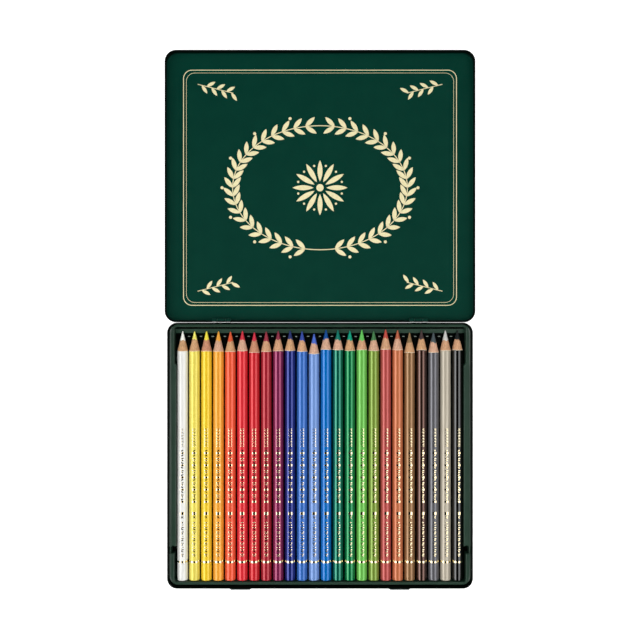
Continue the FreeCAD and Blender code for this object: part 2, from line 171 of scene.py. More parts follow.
def stoveEnamel(name, dark, light, roughness, sheen):
    # deep even green with a faint orange-peel ripple about 2 mm wide
    material, tree = newMaterial(name)
    colour = addNode(tree, "ShaderNodeValToRGB", {"stops": ((0.3, dark), (0.7, light))},
                     {"Fac": grain(tree, 1 / (14 * mm))})
    ripple = addNode(tree, "ShaderNodeBump", {"in:Distance": 0.02 * mm, "in:Strength": 0.1},
                     {"Height": grain(tree, 1 / (2 * mm))})
    shader = addNode(tree, "ShaderNodeBsdfPrincipled",
                     {"in:Roughness": roughness, "in:Specular IOR Level": sheen},
                     {"Base Color": colour.outputs["Color"], "Normal": ripple.outputs["Normal"]})
    addNode(tree, "ShaderNodeOutputMaterial", links={"Surface": shader.outputs["BSDF"]})
    return material


def paintedShadeEnamel(name, dark, light, bottom, top):
    # the same enamel on an upright wall with painted shade: nearly black towards the rim, fading to its
    # green near the panel
    material, tree = newMaterial(name)
    height = coordinate(tree, "Z")
    rise = addNode(tree, "ShaderNodeMapRange", {"in:From Min": top, "in:From Max": bottom},
                   {"Value": height})
    uneven = addNode(tree, "ShaderNodeMath", {"operation": "MULTIPLY_ADD", "in:1": 0.1},
                     {0: grain(tree, 1 / (5 * mm)), 2: rise.outputs["Result"]})
    colour = addNode(tree, "ShaderNodeValToRGB", {"stops": ((0.05, dark), (1, light))},
                     {"Fac": uneven.outputs["Value"]})
    shader = addNode(tree, "ShaderNodeBsdfPrincipled",
                     {"in:Roughness": 0.3, "in:Specular IOR Level": 0.03},
                     {"Base Color": colour.outputs["Color"]})
    addNode(tree, "ShaderNodeOutputMaterial", links={"Surface": shader.outputs["BSDF"]})
    return material


def hingeBendPaintedLight(name, tin, rim, panel, bendEnd, rimEnd):
    # hinge strip: tin at the bend painted near white as the light seen through the seam, then a near-black
    # band of painted shade like the rims, and green enamel further back
    material, tree = newMaterial(name)
    depth = coordinate(tree, "Y")
    waver = addNode(tree, "ShaderNodeMath", {"operation": "MULTIPLY_ADD", "in:1": 0.1 * mm},
                    {0: grain(tree, 1 / (0.8 * mm)), 2: depth})
    span = rimEnd - bendEnd
    zone = addNode(tree, "ShaderNodeMapRange",
                   {"in:From Min": bendEnd - span, "in:From Max": rimEnd + span},
                   {"Value": waver.outputs["Value"]})
    colour = addNode(tree, "ShaderNodeValToRGB", {"stops": ((0.32, tin), (0.36, rim), (0.66, panel))},
                     {"Fac": zone.outputs["Result"]})
    shader = addNode(tree, "ShaderNodeBsdfPrincipled",
                     {"in:Roughness": 0.5, "in:Specular IOR Level": 0.1},
                     {"Base Color": colour.outputs["Color"]})
    addNode(tree, "ShaderNodeOutputMaterial", links={"Surface": shader.outputs["BSDF"]})
    return material


def formedPlasticPaintedShade(name, dark, light, deep, shadeTop, shadeBottom):
    # dull grey-green sheet, soft sheen, slightly uneven from the mould; painted shade makes it nearly
    # black, with almost no sheen, deep in the well
    material, tree = newMaterial(name)
    height = coordinate(tree, "Z")
    depth = addNode(tree, "ShaderNodeMapRange", {"in:From Min": shadeTop, "in:From Max": shadeBottom},
                    {"Value": height})
    sheet = addNode(tree, "ShaderNodeValToRGB", {"stops": ((0.3, dark), (0.7, light))},
                    {"Fac": grain(tree, 1 / (9 * mm))})
    colour = addNode(tree, "ShaderNodeMix", {"data_type": "RGBA", "in:B": linear(deep)},
                     {"Factor": depth.outputs["Result"], "A": sheet.outputs["Color"]})
    rough = addNode(tree, "ShaderNodeMapRange", {"in:To Min": 0.26, "in:To Max": 0.36},
                    {"Value": grain(tree, 1 / (1.5 * mm))})
    ripple = addNode(tree, "ShaderNodeBump", {"in:Distance": 0.03 * mm, "in:Strength": 0.2},
                     {"Height": grain(tree, 1 / (3 * mm))})
    sheen = addNode(tree, "ShaderNodeMapRange", {"in:To Min": 0.5, "in:To Max": 0.05},
                    {"Value": depth.outputs["Result"]})
    shader = addNode(tree, "ShaderNodeBsdfPrincipled", {"in:IOR": 1.5},
                     {"Base Color": colour.outputs["Result"], "Roughness": rough.outputs["Result"],
                      "Specular IOR Level": sheen.outputs["Result"], "Normal": ripple.outputs["Normal"]})
    addNode(tree, "ShaderNodeOutputMaterial", links={"Surface": shader.outputs["BSDF"]})
    return material


def drawnWire(name, dark, light):
    # bright steel with fine lines along the wire
    material, tree = newMaterial(name)
    colour = addNode(tree, "ShaderNodeValToRGB", {"stops": ((0.3, dark), (0.7, light))},
                     {"Fac": grain(tree, 1 / (0.1 * mm), (60, 1, 1))})
    shader = addNode(tree, "ShaderNodeBsdfPrincipled", {"in:Metallic": 1, "in:Roughness": 0.3},
                     {"Base Color": colour.outputs["Color"]})
    addNode(tree, "ShaderNodeOutputMaterial", links={"Surface": shader.outputs["BSDF"]})
    return material


def dippedLacquer(name, body):
    # thick gloss drawn along the barrel, so that streaks of light waver a little and take on its colour
    material, tree = newMaterial(name)
    colour = addNode(tree, "ShaderNodeValToRGB", {"stops": ((0.2, shade(body, 0.94)), (0.6, body))},
                     {"Fac": grain(tree, 1 / (2 * mm), (1, 12, 1))})
    waver = addNode(tree, "ShaderNodeBump", {"in:Distance": 0.03 * mm, "in:Strength": 0.2},
                    {"Height": grain(tree, 1 / (1.6 * mm), (1, 9, 1), 2)})
    # strong colours tint their streaks, while white and grey keep weaker plain ones
    hue = linear(body)[:3]
    chroma = 1 - min(hue) / max(hue)
    glint = [(0.55 + 0.45 * chroma) * (0.25 + 0.75 * c / max(hue)) for c in hue] + [1]
    shader = addNode(tree, "ShaderNodeBsdfPrincipled",
                     {"in:Roughness": 0.07, "in:IOR": 2.1, "in:Specular Tint": glint},
                     {"Base Color": colour.outputs["Color"], "Normal": waver.outputs["Normal"]})
    addNode(tree, "ShaderNodeOutputMaterial", links={"Surface": shader.outputs["BSDF"]})
    return material


def sharpenedCedar(name, early, late):
    # pale straight-grained wood, darker fibres along the pencil, fine cutter marks round the cone
    material, tree = newMaterial(name)
    colour = addNode(tree, "ShaderNodeValToRGB", {"stops": ((0.36, late), (0.62, early))},
                     {"Fac": grain(tree, 1 / (0.35 * mm), (1, 14, 1), 5)})
    cuts = addNode(tree, "ShaderNodeBump", {"in:Distance": 0.05 * mm, "in:Strength": 0.4},
                   {"Height": grain(tree, 1 / (0.3 * mm), (6, 1, 6), 2)})
    shader = addNode(tree, "ShaderNodeBsdfPrincipled",
                     {"in:Roughness": 0.75, "in:Specular IOR Level": 0.2},
                     {"Base Color": colour.outputs["Color"], "Normal": cuts.outputs["Normal"]})
    addNode(tree, "ShaderNodeOutputMaterial", links={"Surface": shader.outputs["BSDF"]})
    return material


def waxCore(name, body, deep):
    # dense pigment, waxy half-gloss, faint turning marks
    material, tree = newMaterial(name)
    colour = addNode(tree, "ShaderNodeValToRGB", {"stops": ((0.25, deep), (0.6, body))},
                     {"Fac": grain(tree, 1 / (0.5 * mm), (1, 3, 1))})
    marks = addNode(tree, "ShaderNodeBump", {"in:Distance": 0.04 * mm, "in:Strength": 0.4},
                    {"Height": grain(tree, 1 / (0.25 * mm), (5, 1, 5), 2)})
    shader = addNode(tree, "ShaderNodeBsdfPrincipled",
                     {"in:Roughness": 0.5, "in:Specular IOR Level": 0.35},
                     {"Base Color": colour.outputs["Color"], "Normal": marks.outputs["Normal"]})
    addNode(tree, "ShaderNodeOutputMaterial", links={"Surface": shader.outputs["BSDF"]})
    return material


def hotFoil(name, dark, light):
    # pale gold leaf pressed on, mirror-like with small dull specks
    material, tree = newMaterial(name)
    specks = grain(tree, 1 / (0.4 * mm))
    colour = addNode(tree, "ShaderNodeValToRGB", {"stops": ((0.3, dark), (0.7, light))}, {"Fac": specks})
    rough = addNode(tree, "ShaderNodeMapRange", {"in:To Min": 0.08, "in:To Max": 0.24}, {"Value": specks})
    shader = addNode(tree, "ShaderNodeBsdfPrincipled", {"in:Metallic": 1},
                     {"Base Color": colour.outputs["Color"], "Roughness": rough.outputs["Result"]})
    addNode(tree, "ShaderNodeOutputMaterial", links={"Surface": shader.outputs["BSDF"]})
    return material


def dullCoat(name, dark, light):
    # even and without gloss, a little thinner in places: ink, primer, and pale plastic that stands for a
    # painted highlight
    material, tree = newMaterial(name)
    colour = addNode(tree, "ShaderNodeValToRGB", {"stops": ((0.25, dark), (0.6, light))},
                     {"Fac": grain(tree, 1 / (1.2 * mm))})
    shader = addNode(tree, "ShaderNodeBsdfPrincipled",
                     {"in:Roughness": 0.55, "in:Specular IOR Level": 0.25},
                     {"Base Color": colour.outputs["Color"]})
    addNode(tree, "ShaderNodeOutputMaterial", links={"Surface": shader.outputs["BSDF"]})
    return material


# heights and distances at which a finish or its painted light and shade changes
finishZones = {
    "wallShade": (0.4 * mm, 3.2 * mm),
    "wellShade": (3.2 * mm, 2.4 * mm),
    "paintedSeamLight": 0.25 * mm,
    "darkRim": 1.4 * mm,
}
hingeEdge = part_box("lid")[0].y

tinEnamel = stoveEnamel("green_stove_enamel_on_tinplate", "043127", "053429", 0.12, 0.35)
# rolled rims: darker enamel with painted shade that makes them near black
rimEnamel = stoveEnamel("dark_enamel_with_painted_shade_on_rolled_rim", "010503", "020705", 0.3, 0.02)
# the snap bumps carry the green enamel darkened as painted shade
bumpEnamelPaintedShade = stoveEnamel("green_stove_enamel_darkened_as_shade_on_snap_bump", "02120d", "031610", 0.2, 0.15)
lidRimEnamel = stoveEnamel("dark_enamel_with_painted_shade_on_lid_rim", "020806", "030a08", 0.25, 0.08)
# inner walls: painted shade, dark from a few mm above the panel
wallEnamelPaintedShade = paintedShadeEnamel("green_stove_enamel_with_painted_shade_on_inner_wall", "010604", "04342a", *finishZones["wallShade"])
# near-white seam: painted light; near-black band behind it: painted shade
hingeStrip = hingeBendPaintedLight("enamelled_hinge_strip_with_painted_light_and_shade", "f0f1f0", "030a08", "043127",
                      hingeEdge + finishZones["paintedSeamLight"], hingeEdge + finishZones["darkRim"])
# deep in the well the tray is painted near black as shade
trayPlasticPaintedShade = formedPlasticPaintedShade("thermoformed_dark_green_polystyrene_with_painted_shade", "1d3428", "21392c", "020403",
                            *finishZones["wellShade"])
# pale pads at the ridge ends: a painted highlight
ridgeHighlightPlastic = dullCoat("pale_polystyrene_painted_as_highlight_at_ridge_ends", "748076", "848f86")
hingeSteel = drawnWire("drawn_steel_hinge_wire", "7c7f7e", "a5a8a7")
foil = hotFoil("hot_stamped_pale_gold_foil", "e9d6a2", "f7ecca")
primer = dullCoat("white_primer_under_lacquer", "e2d2b4", "efe4cd")
creamInk = dullCoat("cream_screen_print_ink", "d3c899", "dfd6ab")
print("materials done")


# base pan and lid, each a pressed sheet swept round a rounded rectangle

def roundedPath(halfWidth, halfLength, corner, centreY, steps=12):
    # points on the outline with their outward directions, anticlockwise from the right front corner
    path = []
    quarters = [(1, -1, -90), (1, 1, 0), (-1, 1, 90), (-1, -1, 180)]
    for signX, signY, start in quarters:
        for step in range(steps + 1):
            angle = math.radians(start + 90 * step / steps)
            out = Vector((math.cos(angle), math.sin(angle), 0))
            middle = Vector((signX * (halfWidth - corner), centreY + signY * (halfLength - corner), 0))
            path.append((middle + out * corner, out))
    return path


def sweptPan(name, path, section, rimRange, materials):
    # section runs from the underside out, over the rim and down the inner wall to the panel's upper face
    count = len(path)
    points = []
    for out, height in section:
        points += [place + direction * out + Vector((0, 0, height)) for place, direction in path]
    faces = ringFaces(len(section), count)
    slots = []
    for row in range(len(section) - 1):
        slots += [0 if row < rimRange[0] else 1 if row < rimRange[1] else 2] * count
    faces.append(tuple(reversed(range(count))))
    faces.append(tuple(range((len(section) - 1) * count, len(section) * count)))
    slots += [0, 0]
    return meshPiece(name, points, faces, materials, slots)


basePan = {
    "sheet": 0.35 * mm,
    "curl": 1.0 * mm,
    "bend": 1.0 * mm,
    "corner": 7 * mm,
    "bumpSize": (17.6 * mm, 4.4 * mm),
    "bumpSpacing": 110.6 * mm,
    "bumpBelowRim": 2.7 * mm,
    "bumpEdge": 1.1 * mm,
    "bumpEnd": 2.4 * mm,
    "bumpGrid": (26, 12),
    "frontReach": 0.4 * mm,
    "neck": 0.1 * mm,
}


def buildBase():
    p = basePan
    low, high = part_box("base_pan")
    inset = p["curl"] - p["sheet"]
    wallX = high.x - inset
    wallY = high.y - inset
    roll = p["curl"] / 2
    section = arc(-p["bend"], p["bend"], p["bend"], -90, 0, 6)
    rimStart = len(section)
    section += [(0, high.z - p["curl"] - p["neck"])]
    section += arc(roll - p["sheet"], high.z - roll, roll, -110, 180, 20)
    rimEnd = len(section) - 1
    section += arc(-p["bend"], p["bend"], p["bend"] - p["sheet"], 0, -90, 6)
    reachedY = wallY + p["frontReach"] / 2
    path = roundedPath(wallX, reachedY, p["corner"] - inset, -p["frontReach"] / 2)
    pan = sweptPan("base_pan_sheet", path, section, (rimStart, rimEnd), [tinEnamel, rimEnamel, wallEnamelPaintedShade])
    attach(pan, "base")
    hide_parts("base_pan")
    # two snap bumps, pressed out of the front wall as smooth swellings, their enamel darkened as painted
    # shade
    width, height = p["bumpSize"]
    frontY = -wallY - p["frontReach"]
    reach = frontY - low.y
    columns, rows = p["bumpGrid"]
    for side, hand in sides:
        points = []
        for row in range(rows + 1):
            z = (row / rows - 0.5) * height
            for column in range(columns + 1):
                x = (column / columns - 0.5) * width
                depth = reach * smoothStep((width / 2 - abs(x)) / p["bumpEnd"])
                depth *= smoothStep((height / 2 - abs(z)) / p["bumpEdge"])
                points.append((side * p["bumpSpacing"] / 2 + x, frontY - depth,
                               high.z - p["bumpBelowRim"] + z))
        bump = meshPiece(f"snap_bump_{hand}", points, gridFaces(rows, columns), [bumpEnamelPaintedShade])
        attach(bump, "base")


lidPan = {
    "sheet": 0.35 * mm,
    "curl": 1.3 * mm,
    "bend": 1.2 * mm,
    "corner": 8 * mm,
    "depth": 8.0 * mm,
    "windowHalf": 6.8 * mm,
    "windowFloor": 5.85 * mm,
    "windowReach": 2.3 * mm,
    "knuckleWidth": 5.6 * mm,
    "pinRadius": 0.75 * mm,
    "pinClearance": 0.05 * mm,
    "neck": 0.05 * mm,
}


def cutBox(piece, low, high):
    corners = [(x, y, z) for x in (low[0], high[0]) for y in (low[1], high[1]) for z in (low[2], high[2])]
    walls = [(0, 1, 3, 2), (4, 6, 7, 5), (0, 4, 5, 1), (2, 3, 7, 6), (0, 2, 6, 4), (1, 5, 7, 3)]
    cutter = meshPiece("cutter", corners, walls, [])
    cut = piece.modifiers.new("window", "BOOLEAN")
    cut.object = cutter
    cut.operation = "DIFFERENCE"
    graph = bpy.context.evaluated_depsgraph_get()
    shape = bpy.data.meshes.new_from_object(piece.evaluated_get(graph))
    piece.modifiers.clear()
    piece.data = shape
    bpy.data.objects.remove(cutter)


def strip(name, line, thickness, left, right, material):
    # sheet of that thickness to the right of a line in the Y-Z plane, as wide as left to right
    inner = []
    for index, (y, z) in enumerate(line):
        before = line[max(index - 1, 0)]
        after = line[min(index + 1, len(line) - 1)]
        along = Vector((after[0] - before[0], after[1] - before[1])).normalized()
        inner.append((y + along.y * thickness, z - along.x * thickness))
    outline = line + inner[::-1]
    count = len(outline)
    points = [(x, y, z) for x in (left, right) for y, z in outline]
    faces = [(i, (i + 1) % count, count + (i + 1) % count, count + i) for i in range(count)]
    half = len(line)
    for index in range(half - 1):
        quad = (index, index + 1, count - 2 - index, count - 1 - index)
        faces.append(quad[::-1])
        faces.append(tuple(count + i for i in quad))
    return meshPiece(name, points, faces, [material], sharpAngle=40)


def buildLid():
    p = lidPan
    low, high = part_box("lid")
    halfLength = (high.y - low.y) / 2
    centreY = (high.y + low.y) / 2
    roll = p["curl"] / 2
    section = arc(-p["bend"], p["bend"], p["bend"], -90, 0, 6)
    rimStart = len(section)
    section += arc(-roll, p["depth"] - roll, roll, 0, 280, 20)
    section += [(-p["sheet"], p["depth"] - p["curl"] - p["neck"])]
    rimEnd = len(section) - 1
    section += arc(-p["bend"], p["bend"], p["bend"] - p["sheet"], 0, -90, 6)
    path = roundedPath(high.x, halfLength, p["corner"], centreY)
    pan = sweptPan("lid_sheet", path, section, (rimStart, rimEnd), [tinEnamel, lidRimEnamel, wallEnamelPaintedShade])
    pinLow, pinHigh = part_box("hinge_pin_right")
    axisY = (pinLow.y + pinHigh.y) / 2
    axisZ = (pinLow.z + pinHigh.z) / 2
    hingeX = (pinLow.x + pinHigh.x) / 2
    for side in (-1, 1):
        x = side * hingeX
        cutBox(pan, (x - p["windowHalf"], low.y - mm, p["windowFloor"]),
               (x + p["windowHalf"], low.y + p["windowReach"], high.z + mm))
    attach(pan, "lid")
    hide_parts("lid")
    # a tab of the wall beside the base rolls over each pin
    bore = p["pinRadius"] + p["pinClearance"]
    outer = bore + p["sheet"]
    setback = axisY - low.y
    line = [(low.y, p["windowFloor"] - mm), (low.y, axisZ + outer - setback)]
    line += arc(axisY, axisZ + outer - setback, setback, 180, 90, 8)[1:]
    line += arc(axisY, axisZ, outer, 90, -90, 16)[1:]
    for side, hand in sides:
        x = side * hingeX
        tab = strip(f"lid_knuckle_{hand}", line, p["sheet"],
                    x - p["knuckleWidth"] / 2, x + p["knuckleWidth"] / 2, hingeStrip)
        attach(tab, "lid")


buildBase()
buildLid()
for side, hand in sides:
    for node, finish in ((f"hinge_leaf_{hand}", hingeStrip), (f"hinge_pin_{hand}", hingeSteel)):
        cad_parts[node].data.materials.clear()
        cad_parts[node].data.materials.append(finish)
print("tin done")


# insert tray

tray = {
    "flangeSide": 3.7 * mm,
    "flangeFront": 1.5 * mm,
    "flangeRear": 1.6 * mm,
    "widening": 1.0 * mm,
    "railRear": 26.9 * mm,
    "railSlope": 1.7 * mm,
    "notchSetback": 19.9 * mm,
    "notchLength": 4.9 * mm,
    "notchDepth": 6.9 * mm,
    "notchLip": 0.35 * mm,
    "outerCorner": 5.5 * mm,
    "wellCorner": 1.5 * mm,
    "skirt": 3.0 * mm,
    "lipReach": 0.3 * mm,
    "lipWidth": 0.95 * mm,
    "lipWidthAtNotch": 0.05 * mm,
    "lipRise": 0.5 * mm,
    "wellEdge": 0.6 * mm,
    "railReach": 0.35 * mm,
    "sheet": 0.5 * mm,
    "grooveClearance": 0.15 * mm,
    "crestDrop": 2.4 * mm,
    "crestRound": 0.5 * mm,
    "ridgeSetback": 6.3 * mm,
    "ridgeFall": 0.6 * mm,
    "padSize": (1.55 * mm, 0.55 * mm, 1.3 * mm),
    "padBevel": 0.1 * mm,
    "troughSetback": 4.2 * mm,
    "slopeFoot": 3.3 * mm,
    "slopeHead": 4.0 * mm,
    "slotWidth": 1.3 * mm,
    "grooveSteps": 22,
    "ridgeSteps": 40,
}

pencilNodes = sorted(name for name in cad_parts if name.startswith("pencil_"))


def trayOutlines(low, high):
    # matching points on the well's and the flange's edges, anticlockwise, with the lip's width at each
    p = tray
    wide = high.x - p["flangeSide"] + p["widening"]
    rail = wide - p["widening"] - p["railReach"]
    front = low.y + p["flangeFront"]
    rear = high.y - p["flangeRear"]
    notchX = high.x - p["notchLip"]
    notchFront = front + p["notchSetback"]
    notchRear = notchFront + p["notchLength"]
    railRear = rear - p["railRear"]
    rightSide = [
        (notchFront, wide), (notchFront, notchX), (notchRear, notchX), (notchRear, rail),
        (railRear, rail), (railRear + p["railSlope"], wide),
    ]
    well = []
    flange = []
    lips = []

    def corner(signX, signY, start):
        edgeY = rear if signY > 0 else front
        outerY = high.y if signY > 0 else low.y
        well.extend(arc(signX * (wide - p["wellCorner"]), edgeY - signY * p["wellCorner"], p["wellCorner"],
                        start, start + 90, 8))
        flange.extend(arc(signX * (high.x - p["outerCorner"]), outerY - signY * p["outerCorner"],
                          p["outerCorner"], start, start + 90, 8))
        lips.extend([p["lipWidth"]] * 9)

    corner(1, -1, -90)
    well.extend((x, y) for y, x in rightSide)
    flange.extend((high.x, y) for y, x in rightSide)
    lips.extend(p["lipWidthAtNotch"] if x == notchX else p["lipWidth"] for y, x in rightSide)
    corner(1, 1, 0)
    corner(-1, 1, 90)
    well.extend((-x, y) for y, x in reversed(rightSide))
    flange.extend((low.x, y) for y, x in reversed(rightSide))
    lips.extend(p["lipWidthAtNotch"] if x == notchX else p["lipWidth"] for y, x in reversed(rightSide))
    corner(-1, -1, 180)
    return well, flange, lips


def outwards(outline):
    # direction away from the middle at each point of an anticlockwise outline
    directions = []
    count = len(outline)
    for index in range(count):
        here = Vector(outline[index])
        back = (here - Vector(outline[index - 1])).normalized()
        ahead = (Vector(outline[(index + 1) % count]) - here).normalized()
        mean = Vector((back.y + ahead.y, -back.x - ahead.x))
        directions.append(mean / max(mean.length_squared / 2, 0.5))
    return directions


def grooveHeight(x, centres, height, radius, crest):
    near = min(centres, key=lambda centre: abs(centre - x))
    reach = min(abs(x - near) / radius, 1)
    bowl = height - radius * math.sqrt(1 - reach * reach)
    return softMin(bowl, crest, tray["crestRound"])


def buildTray():
    p = tray
    low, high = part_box("insert_tray")
    well, flange, lips = trayOutlines(low, high)
    wellOut = outwards(well)
    flangeOut = outwards(flange)
    count = len(well)
    loops = []

    def loop(outline, directions, shifts, z):
        loops.append([(x + d.x * s, y + d.y * s, z) for (x, y), d, s in zip(outline, directions, shifts)])

    loop(flange, flangeOut, [0] * count, high.z - p["skirt"])
    # the outer edge bends up a little towards the tin
    for share, z in ((0, p["lipRise"] - 0.1 * mm), (0.05, p["lipRise"]), (0.95, 0.03 * mm), (1.1, 0)):
        loop(flange, flangeOut, [p["lipReach"] - share * lip for lip in lips], high.z + z)
    for out, z in arc(p["wellEdge"], high.z - p["wellEdge"], p["wellEdge"], 90, 180, 6):
        loop(well, wellOut, [out] * count, z)
    loop(well, wellOut, [0] * count, low.z + p["sheet"])
    points = [point for ring in loops for point in ring]
    rim = meshPiece("tray_flange", points, ringFaces(len(loops), count), [trayPlasticPaintedShade], sharpAngle=18)
    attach(rim, "tray")
    # floor of the well: round grooves, then a cross trough, a slope under the points and a narrow slot
    boxes = [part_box(name) for name in pencilNodes]
    centres = [(box[0].x + box[1].x) / 2 for box in boxes]
    pitch = (centres[-1] - centres[0]) / (len(centres) - 1)
    radius = (boxes[0][1].x - boxes[0][0].x) / 2
    axisZ = (boxes[0][1].z + boxes[0][0].z) / 2
    grooveRadius = radius + p["grooveClearance"]
    bottom = low.z + p["sheet"]
    crest = axisZ - p["crestDrop"]
    wide = high.x - p["flangeSide"] + p["widening"]
    front = low.y + p["flangeFront"]
    rear = high.y - p["flangeRear"]
    ridgeEnd = rear - p["ridgeSetback"]
    foot = rear - p["troughSetback"]
    head = rear - p["slotWidth"]
    perGroove = p["grooveSteps"]
    steps = perGroove * len(centres)
    across = [centres[0] - pitch / 2 + pitch * step / perGroove for step in range(steps + 1)]
    across = [-wide] + across + [wide]
    # rows lie close together at the ridge ends and in pairs at each step
    fine = p["ridgeSteps"]
    start = ridgeEnd - 2 * p["ridgeFall"]
    along = [front, start - 0.1 * mm] + [start + (foot - start) * step / fine for step in range(fine)]
    along += [foot - 0.05 * mm, foot, (foot + head) / 2, head, head + 0.05 * mm, rear]
    points = []
    for y in along:
        fall = smoothStep((y - ridgeEnd + p["ridgeFall"]) / p["ridgeFall"])
        share = (y - foot) / (head - foot)
        behind = bottom
        if 0 <= share <= 1:
            behind = p["slopeFoot"] + share * (p["slopeHead"] - p["slopeFoot"])
        for x in across:
            groove = grooveHeight(x, centres, bottom + grooveRadius, grooveRadius, crest)
            points.append((x, y, max(groove + (bottom - groove) * fall, behind)))
    faces = gridFaces(len(along) - 1, len(across) - 1)
    floor = meshPiece("tray_grooves", points, faces, [trayPlasticPaintedShade], sharpAngle=60)
    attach(floor, "tray")
    # a small raised pad, rubbed pale, ends each ridge between two pencils
    padWidth, padLength, padHeight = p["padSize"]
    points = []
    faces = []
    for left, right in zip(centres, centres[1:]):
        first = len(points)
        padTop = crest + padHeight
        for inset, z in ((0, bottom), (0, padTop - p["padBevel"]), (p["padBevel"], padTop)):
            for signX, signY in ((-1, -1), (1, -1), (1, 1), (-1, 1)):
                points.append(((left + right) / 2 + signX * (padWidth / 2 - inset),
                               ridgeEnd - padLength / 2 + signY * (padLength / 2 - inset), z))
        faces += ringFaces(3, 4, first)
        # a small raised pad, coloured pale as a painted highlight, ends each ridge between two pencils
        faces.append((first + 8, first + 9, first + 10, first + 11))
    pads = meshPiece("tray_ridge_highlight_pads", points, faces, [ridgeHighlightPlastic])
    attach(pads, "tray")
    # floors of the two finger notches, set deep so that the painted shade darkens them
    notchFront = front + p["notchSetback"]
    notchRear = notchFront + p["notchLength"]
    z = high.z - p["notchDepth"]
    for side, hand in sides:
        inner = side * (wide - p["widening"])
        outer = side * (high.x - p["notchLip"])
        corners = [(inner, notchFront, z), (outer, notchFront, z),
                   (outer, notchRear, z), (inner, notchRear, z)]
        order = (0, 1, 2, 3) if side > 0 else (3, 2, 1, 0)
        notch = meshPiece(f"tray_notch_{hand}", corners, [order], [trayPlasticPaintedShade])
        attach(notch, "tray")
    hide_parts("insert_tray")


buildTray()
print("tray done")


# pencils

pencil = {
    "segments": 48,
    "pointAngle": 27.8,
    "tipRadius": 0.4 * mm,
    "endRound": 0.2 * mm,
    "holdRing": 0.15 * mm,
    "primerWidth": 0.21 * mm,
    "edgeInset": 0.004,
    "edgeWave": 0.006,
    "coreWave": 0.06 * mm,
    "endSetback": 0.45 * mm,
    "band": (12.8 * mm, 14.2 * mm),
    "foilLift": 0.015 * mm,
}

woodTones = {"pale": "daac90", "warm": "d6a47e", "tan": "d4a478", "reddish": "cc9070"}

# lacquer, core, wood, then in mm: core radius, slant of its edge, reach of the point past the CAD's
pencilLooks = {
    "white": ("dcdcd8", "f8f8f0", "tan", 1.9, 0.0, 0.0),
    "light_yellow": ("dccc58", "ece468", "tan", 1.7, 0.05, 0.0),
    "yellow": ("e0bc28", "ecdc40", "reddish", 1.8, 0.05, 0.0),
    "orange_yellow": ("e09830", "e8a038", "pale", 1.9, 0.05, 0.0),
    "orange": ("d85030", "d85830", "tan", 2.0, 0.1, 0.3),
    "scarlet": ("c82830", "cc3040", "pale", 1.9, 0.05, 0.3),
    "red": ("b82028", "cc3044", "reddish", 1.7, 0.1, 0.0),
    "dark_red": ("901c28", "943040", "warm", 2.0, 0.05, 0.3),
    "wine": ("681c40", "842c40", "warm", 1.8, 0.05, 0.5),
    "navy": ("101c58", "243068", "tan", 1.8, 0.05, 0.9),
    "blue": ("3060a8", "3048a0", "warm", 1.9, 0.1, 0.0),
    "light_blue": ("6888c0", "4868c8", "pale", 2.0, 0.1, 0.2),
    "cobalt": ("0060a8", "084890", "pale", 2.2, 0.35, 1.2),
    "blue_green": ("004838", "007060", "pale", 2.0, 0.1, 0.8),
    "emerald": ("005830", "009878", "tan", 1.9, 0.1, 0.5),
    "light_green": ("60a848", "60c058", "warm", 2.1, 0.05, 0.8),
    "olive": ("688030", "407848", "pale", 2.1, 0.15, 0.5),
    "brick_red": ("a04440", "bc4c40", "warm", 1.8, 0.05, 1.2),
    "terracotta": ("b06440", "b05c40", "pale", 1.9, 0.05, 0.9),
    "ochre_brown": ("785838", "886c48", "tan", 2.1, 0.05, 0.0),
    "dark_brown": ("201410", "443434", "tan", 1.9, 0.05, 1.0),
    "grey": ("505054", "485458", "pale", 1.8, 0.3, 0.5),
    "beige_grey": ("a8a090", "ccccc8", "warm", 2.0, 0.05, 0.4),
    "black": ("040404", "1c2020", "warm", 2.0, 0.15, 0.9),
}
cedars = {tone: sharpenedCedar(f"sharpened_cedar_{tone}", early, shade(early, 0.8))
          for tone, early in woodTones.items()}


def pencilRings(length, radius, coreRadius, slant, phase):
    # rings from the blunt end to the tip as (distance, radius) by angle, and the finish after each ring
    p = pencil
    half = math.radians(p["pointAngle"] / 2)
    apex = length + p["tipRadius"] / math.sin(half) - p["tipRadius"]
    steps = p["segments"]

    def ring(place, size):
        return [(place, size)] * steps

    def coneRing(sizes):
        return [(apex - size / math.tan(half), size) for size in sizes]

    start = p["endSetback"]
    rings = [(ring(start, radius - p["endRound"]), 0)]
    for out, place in arc(radius - p["endRound"], start + p["endRound"], p["endRound"], -70, 0, 4):
        rings.append((ring(place, out), 0))
    # rings held close to both ends keep the shading of the long barrel straight
    rings.append((ring(start + p["endRound"] + p["holdRing"], radius), 0))
    # the lacquer's edge waves a little where the sharpener ran out
    waves = [math.sin(3 * math.tau * k / steps + phase) for k in range(steps)]
    edge = [radius * (1 - p["edgeInset"] - p["edgeWave"] * wave) for wave in waves]
    for hold in (2, 1):
        rings.append(([(place - hold * p["holdRing"], radius) for place, size in coneRing(edge)], 0))
    rings.append((coneRing(edge), 1))
    inner = [size - p["primerWidth"] * math.sin(half) for size in edge]
    rings.append((coneRing(inner), 2))
    core = []
    for k in range(steps):
        turn = math.tau * k / steps
        wave = p["coreWave"] * (math.sin(3 * turn + phase) + math.sin(5 * turn + 2 * phase))
        core.append((coreRadius + slant * math.cos(turn + phase)) * mm + wave)
    for share in (0.33, 0.67):
        rings.append((coneRing([a + (b - a) * share for a, b in zip(inner, core)]), 2))
    rings.append((coneRing(core), 3))
    blunt = p["tipRadius"] * math.cos(half)
    rings.append((coneRing([(size + blunt) / 2 for size in core]), 3))
    degrees = math.degrees(half)
    for size, place in arc(0, length - p["tipRadius"], p["tipRadius"], degrees, 80, 4):
        rings.append((ring(place, size), 3))
    return rings


